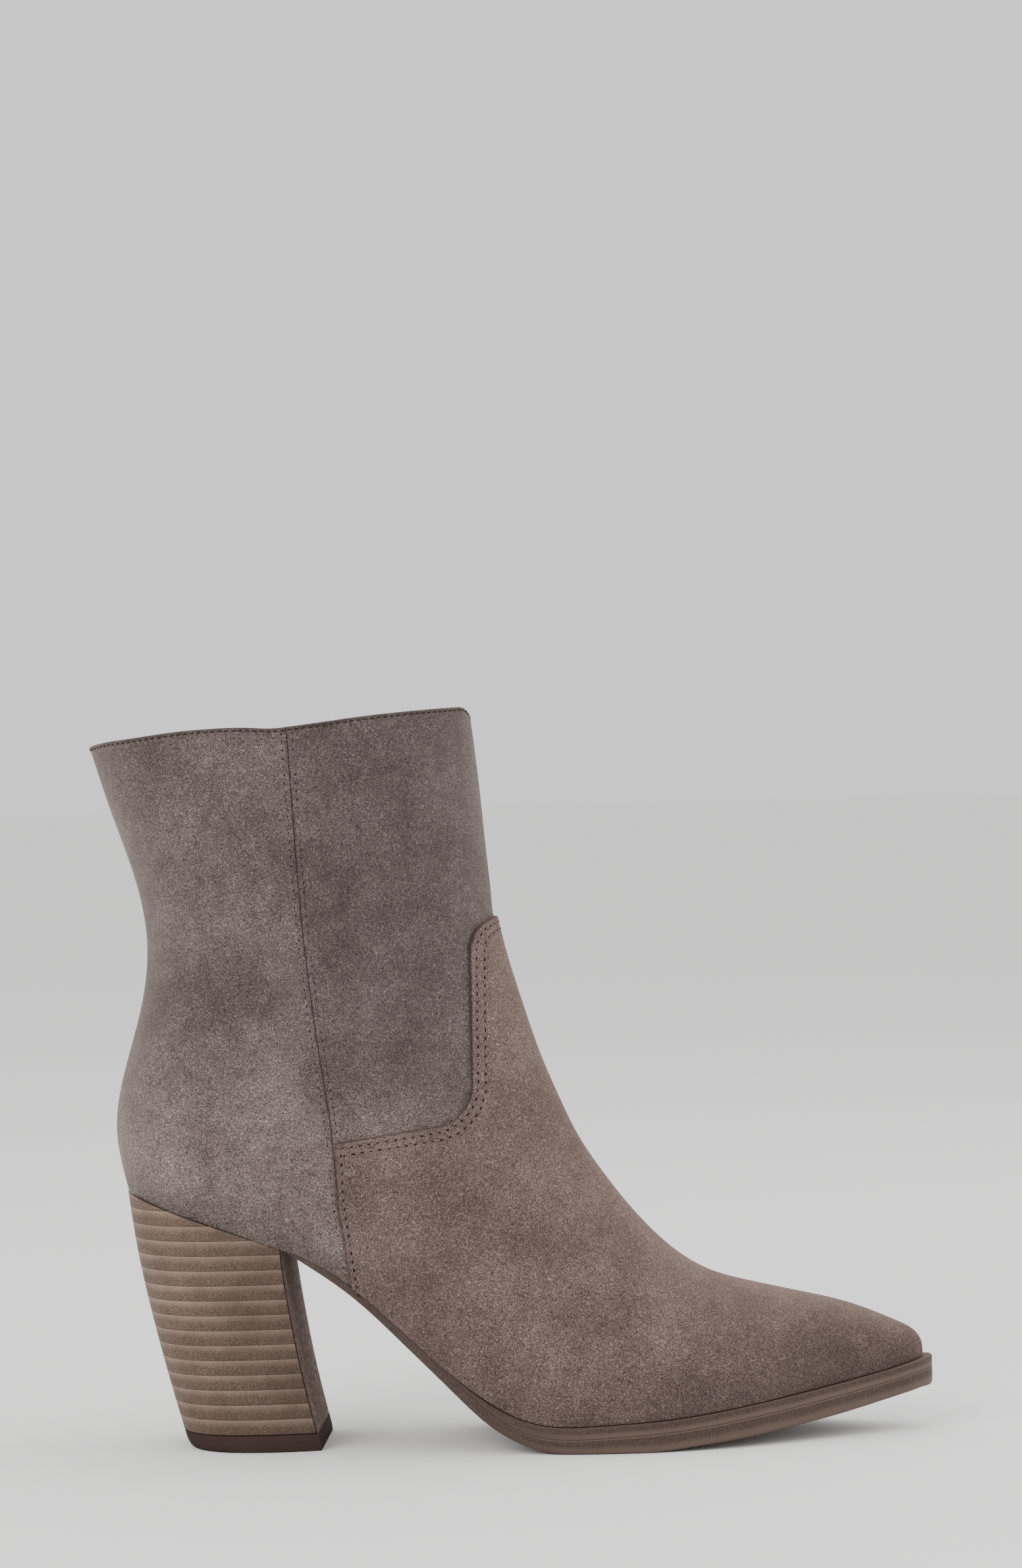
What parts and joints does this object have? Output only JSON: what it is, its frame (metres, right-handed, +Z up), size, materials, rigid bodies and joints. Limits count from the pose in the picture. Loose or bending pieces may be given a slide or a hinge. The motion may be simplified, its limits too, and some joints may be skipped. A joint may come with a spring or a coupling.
{
  "type": "western ankle boot",
  "caption": "Suede western ankle boot for the right foot: pointed toe, hollow shaft, stitched vamp overlay, layered sole edge and a tall stacked block heel.",
  "frame": {"origin": "middle of the boot's box, at the floor", "axes": "+X towards the toe, +Z up, -Y the outer (lateral) side of the right foot"},
  "size_m": [0.2663, 0.0806, 0.2354],
  "materials": {
    "upper_suede": "taupe suede, soft brushed nap",
    "vamp_suede": "taupe suede, soft brushed nap, slightly warmer",
    "sole_edge": "burnished brown sole edge",
    "outsole": "brown moulded sole, smooth satin",
    "insole_sock": "smooth beige sock leather",
    "heel_stack": "stacked leather edge, waxed satin",
    "heel_breast": "smooth dark brown cover",
    "top_lift": "dark brown moulded rubber"
  },
  "bodies": {
    "root": {"upper": "upper_suede", "vamp": "vamp_suede", "midsole": "sole_edge", "outsole": "outsole", "insole": "insole_sock", "heel_lift_01": "heel_stack", "heel_lift_02": "heel_stack", "heel_lift_03": "heel_stack", "heel_lift_04": "heel_stack", "heel_lift_05": "heel_stack", "heel_lift_06": "heel_stack", "heel_lift_07": "heel_stack", "heel_lift_08": "heel_stack", "heel_lift_09": "heel_stack", "heel_lift_10": "heel_stack", "heel_lift_11": "heel_stack", "heel_lift_12": "heel_stack", "heel_lift_13": "heel_stack", "heel_lift_14": "heel_stack", "heel_lift_15": "heel_stack", "heel_lift_16": "heel_stack", "heel_breast": "heel_breast", "heel_top_lift": "top_lift"}
  },
  "joints": []
}
